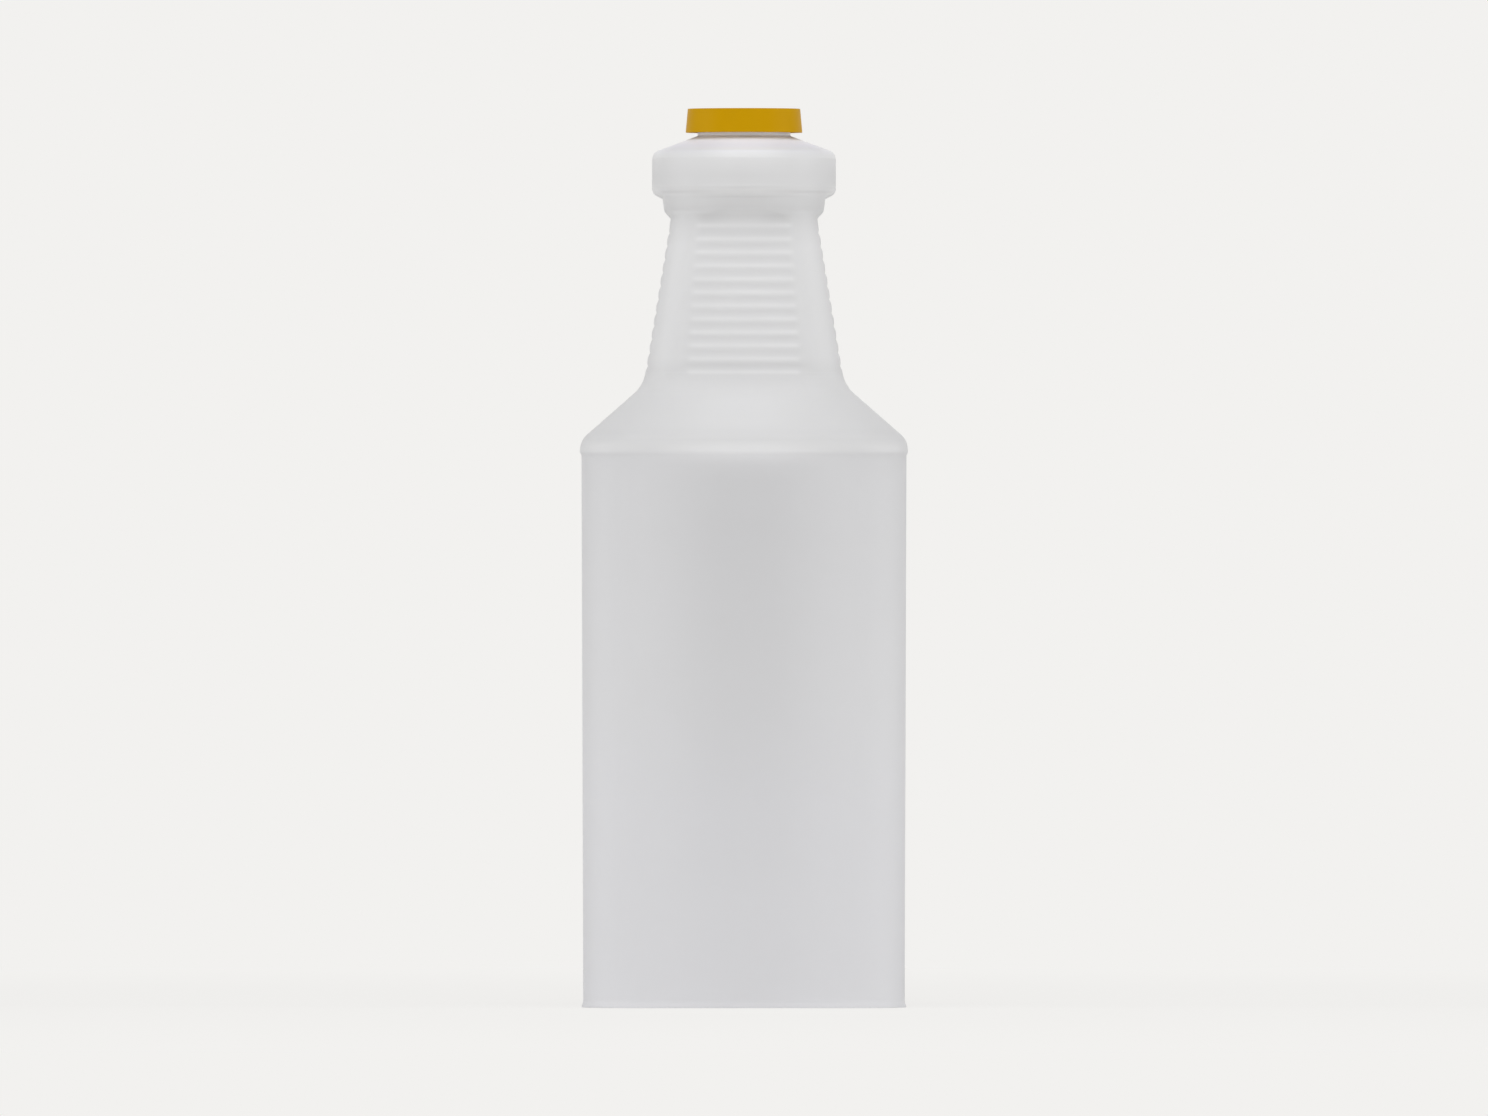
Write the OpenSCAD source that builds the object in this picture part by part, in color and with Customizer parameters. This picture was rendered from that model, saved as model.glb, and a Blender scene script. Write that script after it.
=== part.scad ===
// Square bottle with a ribbed grip, a round collar and a low screw cap.
// Millimetres. The origin is the middle of the foot, and +Z runs up the bottle's axis.
// The bottle is one blown shell. The cap and the liner disc inside it are pieces of their own.

/* [Body] */
// Width across the flat panels at their top
body_w = 82; // [72:0.5:100]
// How much narrower the panels are at the foot than at their top
body_draft = 0.9; // [0:0.1:3]
// Height of the flat panels' top above the foot
panel_h = 139.2; // [80:0.1:220]
// Radius of the four upright corners, seen from above
corner_r = 14; // [8:0.5:24]
// Thickness of the blown wall
wall = 0.9; // [0.6:0.1:1.4]

/* [Base] */
// How far the foot stands out beyond the panels
foot_out = 0.45; // [0:0.05:1.5]
// Height of the foot
foot_h = 1.5; // [1.2:0.1:6]
// Radius of the foot's lower edge
foot_edge_r = 0.2; // [0.1:0.05:1]
// Width of the flat ring that the bottle stands on
ring_w = 6; // [4:0.5:10]
// Depth of the hollow under the base
hollow_d = 2.6; // [1.5:0.1:5]
// Width of the slope between the ring and the hollow's floor
hollow_run = 4.2; // [3:0.1:8]

/* [Shoulder] */
// How far the bead on the shoulder's edge stands out beyond the panels
bead_out = 0.4; // [0.1:0.1:1]
// Height of the bead's side, up to where it would meet the shoulder's slope
bead_h = 3.7; // [3:0.1:8]
// Height of the step from the panel out to the bead
bead_step_h = 0.8; // [0.4:0.1:1.2]
// Rise of the shoulder above the level, in degrees
shoulder_slope = 41.4; // [30:0.1:55]
// Radius between the bead's side and the shoulder's slope
shoulder_r = 5.5; // [2:0.5:8]
// Radius of the hollow curve between the shoulder and the grip
throat_r = 8.8; // [3:0.1:12]

/* [Grip] */
// Width of the grip at its foot
grip_foot_w = 50.9; // [44:0.1:58]
// Width of the grip at its top
grip_top_w = 36.9; // [32:0.1:39]
// Height of the grip
grip_h = 42.65; // [30:0.05:60]
// Corner radius of the grip at its foot, seen from above
grip_foot_corner_r = 11; // [7:0.5:14]
// Corner radius of the grip at its top, seen from above
grip_top_corner_r = 8.6; // [7:0.1:12]
// Number of ribs on each face of the grip
rib_count = 12; // [6:1:14]
// Depth of the grooves between the ribs
groove_depth = 0.5; // [0.2:0.05:0.8]
// Distance from the grip's top down to the highest crest
rib_top_gap = 2.3; // [1.2:0.05:4]
// Distance from the grip's foot up to the lowest crest
rib_foot_gap = 3.3; // [2:0.1:6]
// How far round each corner of the grip the grooves run out, in degrees
groove_run = 20; // [12:1:40]

/* [Collar] */
// Diameter of the round collar
collar_d = 46.4; // [44.5:0.1:50]
// Height of the collar's upright band between its two rounded edges
collar_h = 9.9; // [7:0.05:18]
// Radius of the collar's lower edge
collar_foot_r = 2.2; // [1:0.1:2.5]
// Radius of the collar's upper edge
collar_top_r = 2.3; // [0.8:0.1:2.5]
// Width of the bowl under the collar, across its flat sides
bowl_w = 41; // [40:0.1:42]
// Corner radius of the bowl's top, seen from above
bowl_corner_r = 15; // [14.5:0.1:17]
// Height of the bowl's flare above the grip
bowl_flare_h = 1.75; // [1.5:0.05:4]
// Height of the bowl's side under the collar
bowl_side_h = 3.2; // [2:0.1:5]
// How far the bowl's side leans out towards the collar
bowl_lean = 0.4; // [0.1:0.05:0.6]
// Radius between the bowl's flare and its side
bowl_r = 2; // [1:0.1:3]
// Rise of the collar's underside from the bowl out to the collar's edge
collar_underside_rise = 1.4; // [0.8:0.05:2]
// Rise of the cone above the collar, in degrees
cone_slope = 20.5; // [15:0.5:30]

/* [Neck] */
// Outer diameter of the neck under its thread
neck_d = 23.46; // [22:0.02:26]
// Diameter of the mouth
mouth_d = 20.6; // [18:0.1:21.4]
// Height of the neck above the cone
neck_h = 4.68; // [4.5:0.02:9]
// Bevel on the mouth's outer edge
lip_bevel = 0.25; // [0.1:0.05:0.4]

/* [Thread] */
// Rise of the thread in one turn
thread_pitch = 2.5; // [2.3:0.1:3.5]
// Height of the thread's ridge above the neck, and above the cap's wall
thread_h = 1.12; // [0.9:0.02:1.3]
// Width of the ridge at its root
thread_root_w = 1; // [0.7:0.05:1]
// Width of the ridge at its crest
thread_crest_w = 0.55; // [0.3:0.05:0.6]
// Length of each ridge in turns
thread_turns = 0.93; // [0.6:0.01:1]
// Distance from the mouth down to the upper end of the bottle's ridge
thread_top_gap = 0.35; // [0.2:0.05:0.6]
// Distance from the cap's lower edge up to the lower end of the cap's ridge
cap_thread_gap = 0.3; // [0.2:0.05:0.6]
// Gap between each ridge's crest and the wall that it runs along
thread_clearance = 0.3; // [0.2:0.05:0.5]

/* [Cap] */
// Thickness of the cap's top plate
cap_plate = 1.2; // [0.8:0.1:2]
// Thickness of the skirt at its top
cap_wall = 1.08; // [0.8:0.02:1.6]
// How much wider the skirt is at its lower edge than at its top, on each side
cap_flare = 0.55; // [0:0.05:1.5]
// Length of neck left showing under the cap
neck_show = 0.82; // [0.6:0.01:1.4]
// Bevel on the cap's outer edges
cap_bevel = 0.15; // [0.05:0.05:0.3]
// Bevel inside the skirt's lower edge
skirt_lead = 0.3; // [0.1:0.05:0.5]

/* [Liner] */
// Thickness of the liner disc
liner_t = 1; // [0.6:0.1:2]
// Gap between the liner's edge and the cap's wall
liner_clearance = 0.35; // [0.2:0.05:0.6]

/* [Hidden] */
$fn = 96;

bottle_colour = [0.87, 0.87, 0.86];
cap_colour = [0.76, 0.57, 0.06];
liner_colour = [0.95, 0.95, 0.93];

// Half-widths, seen from the front
panel_top_half = body_w / 2;
panel_foot_half = panel_top_half - body_draft / 2;
foot_half = panel_foot_half + foot_out;
ring_half = foot_half - ring_w;
hollow_half = ring_half - hollow_run;
bead_half = panel_top_half + bead_out;
grip_foot_half = grip_foot_w / 2;
grip_top_half = grip_top_w / 2;
bowl_half = bowl_w / 2;
collar_half = collar_d / 2;
neck_r = neck_d / 2;
mouth_r = mouth_d / 2;

// Heights above the foot, from the bottom up
bead_z = panel_h + bead_h;
grip_foot_z = bead_z + (bead_half - grip_foot_half) * tan(shoulder_slope);
grip_top_z = grip_foot_z + grip_h;
bowl_flare_z = grip_top_z + bowl_flare_h;
bowl_top_z = bowl_flare_z + bowl_side_h;
collar_foot_z = bowl_top_z + collar_underside_rise;
collar_top_z = collar_foot_z + collar_h;
cone_top_z = collar_top_z + (collar_half - neck_r) * tan(cone_slope);
mouth_z = cone_top_z + neck_h;
cap_foot_z = cone_top_z + neck_show;
plate_z = mouth_z + liner_t;
cap_top_z = plate_z + cap_plate;

// The ribs on the grip, and the grooves between them
rib_low_z = grip_foot_z + rib_foot_gap;
rib_high_z = grip_top_z - rib_top_gap;
rib_pitch = (rib_high_z - rib_low_z) / (rib_count - 1);
rows_per_rib = 4;
row_gap = 0.3;

// The thread: the bottle's ridge and the cap's ridge lie on helices half a pitch apart
cap_bore_r = neck_r + thread_h + thread_clearance;
cap_ridge_r = neck_r + thread_clearance;
ridge_root_z = mouth_z - thread_top_gap - thread_root_w / 2 - thread_pitch * thread_turns;
cap_ridge_low_z = cap_foot_z + cap_thread_gap + thread_root_w / 2;
cap_ridge_start = 360 * (cap_ridge_low_z - ridge_root_z + thread_pitch / 2) / thread_pitch;
ridge_room = mouth_z - thread_root_w / 2 - cap_ridge_low_z;
cap_ridge_turns = min(thread_turns, ridge_room / thread_pitch);
ridge_sink = 0.4;
ridge_fade = 30;
ridge_step = 9;

// The cap and the liner
cap_top_r = cap_bore_r + cap_wall;
cap_foot_r = cap_top_r + cap_flare;
liner_r = cap_bore_r - liner_clearance;

// Steps round half a corner, and steps round each curve of the upright outline
outer_corner_steps = 4;
inner_corner_steps = 2;
outer_curve_steps = 4;
inner_curve_steps = 3;
// Sections whose corner radius is within this share of their half-width are spread like a circle
round_share = 0.3;
// Two fillets that share a straight take no more than this much of it between them
fillet_share = 0.95;
// How far the shells run into the neck and the bore, so that they join
overlap = 0.6;

// Small radii of the outline
hollow_r = 2.5;
ring_r = 1.2;
foot_top_r = 4;
bead_foot_r = 0.3;
bead_step_r = 0.6;
grip_top_r = 0.6;
bowl_top_r = 0.3;
inner_heel_r = 3;
least_inner_r = 0.3;

// Outline corners, [half-width, height, fillet radius], from the axis under the base up to the neck
base_corners = [
    [0, hollow_d, 0],
    [hollow_half, hollow_d, hollow_r],
    [ring_half, 0, ring_r],
    [foot_half, 0, foot_edge_r],
    [panel_foot_half, foot_h, foot_top_r]
];
panel_corners = [
    [panel_top_half, panel_h, bead_foot_r],
    [bead_half, panel_h + bead_step_h, bead_step_r]
];
// On the inside, the grip's two corners lie in by half a groove
function upper_corners(in) = [
    [bead_half, bead_z, shoulder_r],
    [grip_foot_half - in, grip_foot_z, throat_r],
    [grip_top_half - in, grip_top_z, grip_top_r],
    [bowl_half - bowl_lean, bowl_flare_z, bowl_r],
    [bowl_half, bowl_top_z, bowl_top_r],
    [collar_half, collar_foot_z, collar_foot_r],
    [collar_half, collar_top_z, collar_top_r]
];
// The cone goes on to a half-width inside the neck or the bore
function cone_end(h) = [h, cone_top_z + (neck_r - h) * tan(cone_slope), 0];
outer_corners = concat(base_corners, panel_corners, upper_corners(0), [cone_end(neck_r - overlap)]);

// The inside follows the main outline without the foot's lip and the bead's step
inner_outline = concat(
    [base_corners[0], base_corners[1], base_corners[2]],
    [[panel_foot_half, 0, inner_heel_r]],
    upper_corners(groove_depth / 2),
    [cone_end(mouth_r - overlap)]
);

// Turns a corner list into a rounded path. Two fillets share the straight between them by their radii.
function unit(v) = v / norm(v);
function flat2(c) = [c[0], c[1]];
function shared_room(p, q) = fillet_share * norm(flat2(q) - flat2(p)) * p[2] / (p[2] + q[2]);
function rounded_corner(before, corner, after, steps) =
    let (
        p = flat2(corner),
        r = corner[2],
        u = unit(flat2(before) - p),
        v = unit(flat2(after) - p),
        opening = acos(max(-1, min(1, u * v))),
        room = min(shared_room(corner, before), shared_room(corner, after)),
        tangent = min(room, r / tan(opening / 2)),
        radius = tangent * tan(opening / 2),
        centre = p + unit(u + v) * radius / sin(opening / 2),
        from = p + u * tangent - centre,
        to = p + v * tangent - centre,
        sweep = 180 - opening
    )
    [for (k = [0:steps])
        centre + (from * sin(sweep * (1 - k / steps)) + to * sin(sweep * k / steps)) / sin(sweep)];
function rounded_path(c, steps) = [
    for (i = [0:len(c) - 1])
        for (q = i == 0 || i == len(c) - 1 || c[i][2] == 0
            ? [flat2(c[i])]
            : rounded_corner(c[i - 1], c[i], c[i + 1], steps)) q
];

// Moves a corner list inwards by d. The two ends slide along the axis and the cone.
function cross2(a, b) = a[0] * b[1] - a[1] * b[0];
function inward(a, b) = let (t = unit(flat2(b) - flat2(a))) [-t[1], t[0]];
function turn_sign(a, p, b) = sign(cross2(flat2(p) - flat2(a), flat2(b) - flat2(p)));
function moved_corner(a, p, b, d) =
    let (n1 = inward(a, p), n2 = inward(p, b), m = unit(n1 + n2))
    flat2(p) + m * d / (m * n1);
function inset_corners(c, d) = [
    for (i = [0:len(c) - 1])
        i == 0 ? [0, c[0][1] + d, 0]
        : i == len(c) - 1
            ? let (q = flat2(c[i]) + inward(c[i - 1], c[i]) * d) [q[0], q[1], 0]
            : let (q = moved_corner(c[i - 1], c[i], c[i + 1], d),
                   r = max(least_inner_r, c[i][2] - d * turn_sign(c[i - 1], c[i], c[i + 1])))
              [q[0], q[1], r]
];

// Corner radius seen from above, at each height, for the outside
function plan_radius(z) = lookup(z, [
    [0, corner_r],
    [bead_z, corner_r],
    [grip_foot_z, grip_foot_corner_r],
    [grip_top_z, grip_top_corner_r],
    [bowl_flare_z, bowl_corner_r],
    [bowl_top_z, bowl_corner_r],
    [collar_foot_z, collar_half]
]);
// Under the base the corners shrink with the section
function section_radius(h, z, d) =
    max(0, min(h, plan_radius(z) - d, z <= hollow_d + d ? corner_r * h / foot_half : h));

// Depth of the grooves at a height. The ribs are round, and each groove is a sharp valley.
function groove(z) =
    z < rib_low_z || z > rib_high_z
        ? 0
        : groove_depth * (1 - abs(cos(180 * (z - rib_low_z) / rib_pitch)));

// Distance from the axis to a rounded square, at an angle from the middle of a face
function reach(h, r, a) =
    let (c = h - r, across = c * (cos(a) - sin(a)))
    h * tan(a) <= c ? h / cos(a) : c * (cos(a) + sin(a)) + sqrt(max(0, r * r - across * across));

// Angle of each column between the middle of a face and a corner's middle.
// Column 0 is the end of the flat, and the rest go round the corner.
function square_angle(h, r, column, steps) =
    let (c = h - r, turn = 45 * column / steps)
    atan2(c + r * sin(turn), c + r * cos(turn));
function column_angle(h, r, column, steps) =
    let (
        even = 90 * (column + 0.5) / (2 * steps + 1),
        squareness = h > 0 ? min(1, (h - r) / (round_share * h)) : 0
    )
    squareness * square_angle(h, r, column, steps) + (1 - squareness) * even;
// A groove's depth in each column, as a share of its depth on the flat
function groove_share(column, steps) = max(0, 1 - 45 * column / steps / groove_run);

// One level section, as points [x, y, z], anticlockwise from above
function section(h, z, r, groove, steps) = [
    for (face = [0:3])
        for (k = [-(steps + 1):steps - 1])
            let (
                side = k < 0 ? -1 : 1,
                column = k < 0 ? -k - 1 : k,
                a = column_angle(h, r, column, steps),
                x = reach(h, r, a) * cos(a) - groove * groove_share(column, steps),
                y = reach(h, r, a) * sin(a) * side,
                turn = 90 * face
            )
            [x * cos(turn) - y * sin(turn), x * sin(turn) + y * cos(turn), z]
];

// Points on the path, as [half-width, height], with the grip's rows set by its ribs
outer_path = rounded_path(outer_corners, outer_curve_steps);
outer_profile = [for (q = outer_path) if (q[1] > foot_h + row_gap) [q[1], q[0]]];
rib_rows = [
    for (i = [0:(rib_count - 1) * rows_per_rib])
        let (z = rib_low_z + i * rib_pitch / rows_per_rib) [lookup(z, outer_profile), z]
];
outer_rows = concat(
    [for (q = outer_path) if (q[0] > 0 && q[1] < rib_low_z - row_gap) q],
    rib_rows,
    [for (q = outer_path) if (q[1] > rib_high_z + row_gap) q]
);
inner_path = rounded_path(inset_corners(inner_outline, wall), inner_curve_steps);
inner_rows = [for (q = inner_path) if (q[0] > 0) q];

// A closed shell lofted through level sections, with a point on the axis below
module loft(rows, foot_z, inset, ribbed, steps) {
    around = 4 * (2 * steps + 1);
    last = len(rows) - 1;
    points = concat(
        [[0, 0, foot_z]],
        [for (q = rows)
            for (p = section(q[0], q[1], section_radius(q[0], q[1], inset),
                             ribbed ? groove(q[1]) : 0, steps)) p],
        [[0, 0, rows[last][1]]]
    );
    faces = concat(
        [for (j = [0:around - 1]) [0, 1 + j, 1 + (j + 1) % around]],
        [for (i = [0:last - 1])
            for (j = [0:around - 1])
                let (a = 1 + i * around + j, b = 1 + i * around + (j + 1) % around)
                for (f = [[a, a + around, b], [b, a + around, b + around]]) f],
        [for (j = [0:around - 1])
            [1 + last * around + j, len(points) - 1, 1 + last * around + (j + 1) % around]]
    );
    polyhedron(points, faces, convexity = 10);
}

// A helical ridge that fades out at both ends. Its root lies inside the wall that carries it.
module helical_ridge(wall_r, crest_r, low_z, start_angle, turns) {
    steps = ceil(360 * turns / ridge_step);
    outwards = crest_r > wall_r;
    root_r = wall_r + (outwards ? -ridge_sink : ridge_sink);
    faded_r = (root_r + wall_r) / 2;
    ring = [
        for (i = [0:steps])
            let (
                turned = 360 * turns * i / steps,
                full = min(1, turned / ridge_fade, (360 * turns - turned) / ridge_fade),
                crest = faded_r + (crest_r - faded_r) * full,
                a = start_angle + turned,
                z = low_z + thread_pitch * turned / 360,
                shape = [
                    [root_r, -thread_root_w / 2], [crest, -thread_crest_w / 2],
                    [crest, thread_crest_w / 2], [root_r, thread_root_w / 2]
                ]
            )
            for (s = shape) [s[0] * cos(a), s[0] * sin(a), z + s[1]]
    ];
    sides = concat(
        [[0, 1, 2], [0, 2, 3]],
        [for (i = [0:steps - 1])
            for (j = [0:3])
                let (a = 4 * i + j, b = 4 * i + (j + 1) % 4)
                for (f = [[a, a + 4, b], [b, a + 4, b + 4]]) f],
        [[4 * steps, 4 * steps + 2, 4 * steps + 1], [4 * steps, 4 * steps + 3, 4 * steps + 2]]
    );
    polyhedron(ring, outwards ? [for (f = sides) [f[2], f[1], f[0]]] : sides, convexity = 6);
}

module neck_outside() {
    rotate_extrude()
        polygon([
            [0, cone_top_z - neck_h], [neck_r, cone_top_z - neck_h],
            [neck_r, mouth_z - lip_bevel], [neck_r - lip_bevel, mouth_z], [0, mouth_z]
        ]);
}

module bottle() {
    color(bottle_colour)
        difference() {
            union() {
                loft(outer_rows, hollow_d, 0, true, outer_corner_steps);
                neck_outside();
                helical_ridge(neck_r, neck_r + thread_h, ridge_root_z, 0, thread_turns);
            }
            loft(inner_rows, hollow_d + wall, wall, false, inner_corner_steps);
            translate([0, 0, collar_top_z - overlap])
                cylinder(h = mouth_z - collar_top_z + 2 * overlap, r = mouth_r);
        }
}

module cap() {
    color(cap_colour)
        union() {
            rotate_extrude()
                polygon([
                    [0, plate_z], [cap_bore_r, plate_z],
                    [cap_bore_r, cap_foot_z + skirt_lead], [cap_bore_r + skirt_lead, cap_foot_z],
                    [cap_foot_r - cap_bevel, cap_foot_z], [cap_foot_r, cap_foot_z + cap_bevel],
                    [cap_top_r, cap_top_z - cap_bevel], [cap_top_r - cap_bevel, cap_top_z],
                    [0, cap_top_z]
                ]);
            helical_ridge(cap_bore_r, cap_ridge_r, cap_ridge_low_z, cap_ridge_start, cap_ridge_turns);
        }
}

module liner() {
    color(liner_colour)
        translate([0, 0, mouth_z])
            cylinder(h = liner_t, r = liner_r);
}

bottle();
cap();
liner();
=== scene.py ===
"""Looks of the square bottle: a milky blown bottle with a ribbed grip and a low mustard screw cap."""

import math

import bpy
import numpy as np
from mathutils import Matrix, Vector


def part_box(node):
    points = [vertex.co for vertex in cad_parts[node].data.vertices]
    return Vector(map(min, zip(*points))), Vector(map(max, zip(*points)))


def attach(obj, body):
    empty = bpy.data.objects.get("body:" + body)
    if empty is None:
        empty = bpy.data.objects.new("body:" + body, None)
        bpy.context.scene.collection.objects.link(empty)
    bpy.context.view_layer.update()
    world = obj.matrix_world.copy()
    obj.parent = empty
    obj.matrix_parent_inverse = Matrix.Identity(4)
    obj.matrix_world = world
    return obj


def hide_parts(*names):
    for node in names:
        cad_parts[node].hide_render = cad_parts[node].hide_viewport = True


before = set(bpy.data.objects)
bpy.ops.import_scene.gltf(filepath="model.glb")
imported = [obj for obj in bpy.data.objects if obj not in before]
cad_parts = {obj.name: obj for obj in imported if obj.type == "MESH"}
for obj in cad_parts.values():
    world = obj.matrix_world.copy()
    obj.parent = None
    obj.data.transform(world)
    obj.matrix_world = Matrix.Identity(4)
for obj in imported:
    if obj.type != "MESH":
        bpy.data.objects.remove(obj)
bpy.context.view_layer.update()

MM = 0.001

# Sizes in millimetres, as the construction has them. Those that the frame shows come from it.
bottle_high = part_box("bottle")[1] / MM
cap_low, cap_high = (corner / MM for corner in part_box("cap"))
liner_low, liner_high = (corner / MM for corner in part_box("liner"))

WALL = 0.9
BEAD_OUT = 0.4
PANEL_TAPER = 0.45
FOOT_OUT = 0.45
RING_W = 6
HOLLOW_RUN = 4.2
HOLLOW_DEPTH = 2.6
BEAD_HALF = bottle_high.x
PANEL_TOP_HALF = BEAD_HALF - BEAD_OUT
PANEL_FOOT_HALF = PANEL_TOP_HALF - PANEL_TAPER
FOOT_HALF = PANEL_FOOT_HALF + FOOT_OUT
RING_HALF = FOOT_HALF - RING_W
HOLLOW_HALF = RING_HALF - HOLLOW_RUN
FOOT_H = 1.5
PANEL_H = 139.2
CORNER_R = 14
BEAD_STEP_H = 0.8
BEAD_H = 3.7
BEAD_Z = PANEL_H + BEAD_H
SHOULDER_SLOPE = math.radians(41.4)
GRIP_FOOT_HALF = 50.9 / 2
GRIP_TOP_HALF = 36.9 / 2
GRIP_H = 42.65
GRIP_FOOT_CORNER_R = 11
GRIP_TOP_CORNER_R = 8.6
RIB_COUNT = 12
GROOVE_DEPTH = 0.5
GROOVE_RUN = 20
RIB_TOP_GAP = 2.3
RIB_FOOT_GAP = 3.3
COLLAR_HALF = 46.4 / 2
COLLAR_H = 9.9
BOWL_HALF = 41 / 2
BOWL_CORNER_R = 15
BOWL_FLARE_H = 1.75
BOWL_SIDE_H = 3.2
BOWL_LEAN = 0.4
UNDERSIDE_RISE = 1.4
CONE_SLOPE = math.radians(20.5)
NECK_R = 23.46 / 2
MOUTH_R = 20.6 / 2
LIP_HALF_W = 0.5
CONE_PAST_BORE = 0.6

# Radii that round the outline, from the base up
HOLLOW_R = 2.5
RING_EDGE_R = 1.2
FOOT_EDGE_R = 0.2
FOOT_TOP_R = 4
INNER_FOOT_R = 3
BEAD_FOOT_R = 0.3
BEAD_STEP_R = 0.6
SHOULDER_R = 5.5
GRIP_FOOT_R = 8.8
GRIP_TOP_R = 0.6
BOWL_FLARE_R = 2
BOWL_TOP_R = 0.3
COLLAR_FOOT_R = 2.2
COLLAR_TOP_R = 2.3
NECK_FOOT_R = 0.35
MOUTH_EDGE_R = 0.3
MOUTH_BORE_EDGE_R = 0.35
BORE_FOOT_R = 0.6
LEAST_INNER_R = 0.3

GRIP_FOOT_Z = BEAD_Z + (BEAD_HALF - GRIP_FOOT_HALF) * math.tan(SHOULDER_SLOPE)
GRIP_TOP_Z = GRIP_FOOT_Z + GRIP_H
BOWL_FLARE_Z = GRIP_TOP_Z + BOWL_FLARE_H
BOWL_TOP_Z = BOWL_FLARE_Z + BOWL_SIDE_H
COLLAR_FOOT_Z = BOWL_TOP_Z + UNDERSIDE_RISE
COLLAR_TOP_Z = COLLAR_FOOT_Z + COLLAR_H
CONE_TOP_Z = COLLAR_TOP_Z + (COLLAR_HALF - NECK_R) * math.tan(CONE_SLOPE)
MOUTH_Z = bottle_high.z

RIB_LOW_Z = GRIP_FOOT_Z + RIB_FOOT_GAP
RIB_HIGH_Z = GRIP_TOP_Z - RIB_TOP_GAP
RIB_PITCH = (RIB_HIGH_Z - RIB_LOW_Z) / (RIB_COUNT - 1)

# The thread on the neck and the one in the cap, half a pitch apart
THREAD_PITCH = 2.5
THREAD_H = 1.12
THREAD_ROOT_W = 1.0
THREAD_CREST_W = 0.55
THREAD_TURNS = 0.93
THREAD_TOP_GAP = 0.35
CAP_THREAD_GAP = 0.3
THREAD_FADE = 30
NECK_THREAD_Z = MOUTH_Z - THREAD_TOP_GAP - THREAD_ROOT_W / 2 - THREAD_PITCH * THREAD_TURNS
CAP_THREAD_Z = cap_low.z + CAP_THREAD_GAP + THREAD_ROOT_W / 2
CAP_THREAD_START = 360 * (CAP_THREAD_Z - NECK_THREAD_Z + THREAD_PITCH / 2) / THREAD_PITCH
CAP_THREAD_TURNS = min(THREAD_TURNS, (MOUTH_Z - THREAD_ROOT_W / 2 - CAP_THREAD_Z) / THREAD_PITCH)

THREAD_CLEARANCE = 0.3
CAP_WALL = 1.08
CAP_BORE_R = NECK_R + THREAD_H + THREAD_CLEARANCE
CAP_TOP_R = CAP_BORE_R + CAP_WALL
CAP_FOOT_R = cap_high.x
LINER_R = liner_high.x

# What the mould leaves: a seam up the two sides, a pinched line under the base, panels that sink a little
SEAM_LATERALS = (0.0, 0.12, 0.26, 0.45)
SEAM_HEIGHTS = (0.07, 0.05, 0.0, 0.0)
PINCH_HEIGHTS = (0.45, 0.4, 0.2, 0.0)
PANEL_SINK = 0.25

SINK_FULLNESS = 0.7
SINK_REACH = 2
SEAM_TOP_GAP = 1
SEAM_FULL_HALF = 10
PINCH_END_GAP = 1
PINCH_LOW_Z = 0.9

# Rows of the mesh: the longest stretch between two, in millimetres, and their number on each rib
NECK_ROW_H = 0.11
CAP_ROW_H = 0.12
PLAIN_ROW_H = 4.0
INNER_ROW_H = 6.0
ROWS_A_RIB = 16
RIB_ROWS_MARGIN = 1

# How far light spreads under the milky plastic's surface, and how far on the ribs
SCATTER = 1.4
RIB_SCATTER = 1.15
CRISP_SCATTER = 0.01


def srgb(red, green, blue):
    """Linear colour of an sRGB one given in 0 to 255."""
    def linear(value):
        share = value / 255
        return share / 12.92 if share <= 0.04045 else ((share + 0.055) / 1.055) ** 2.4
    return (linear(red), linear(green), linear(blue), 1.0)


def smooth(low, high, x):
    """0 below low, 1 above high and a smooth step between them."""
    t = np.clip((x - low) / (high - low), 0, 1)
    return t * t * (3 - 2 * t)


# Outlines

def rounded(corners, degrees_a_step=6, least=3):
    """A path through corners [half-width, height, radius], with each corner rounded."""
    path = []
    for i, corner in enumerate(corners):
        point = np.array(corner[:2], float)
        if i in (0, len(corners) - 1) or corner[2] == 0:
            path.append(point)
            continue
        before, after = corners[i - 1], corners[i + 1]
        to_before = np.array(before[:2]) - point
        to_after = np.array(after[:2]) - point
        room = min(
            0.95 * np.linalg.norm(way) * corner[2] / (corner[2] + other[2])
            for way, other in ((to_before, before), (to_after, after))
        )
        u, v = to_before / np.linalg.norm(to_before), to_after / np.linalg.norm(to_after)
        opening = math.acos(np.clip(u @ v, -1, 1))
        tangent = min(room, corner[2] / math.tan(opening / 2))
        radius = tangent * math.tan(opening / 2)
        middle = (u + v) / np.linalg.norm(u + v)
        centre = point + middle * radius / math.sin(opening / 2)
        start, end = point + u * tangent - centre, point + v * tangent - centre
        sweep = math.pi - opening
        steps = max(least, math.ceil(math.degrees(sweep) / degrees_a_step))
        for k in range(steps + 1):
            f = k / steps
            path.append(
                centre + (start * math.sin(sweep * (1 - f)) + end * math.sin(sweep * f)) / math.sin(sweep)
            )
    return np.array(path)


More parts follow.
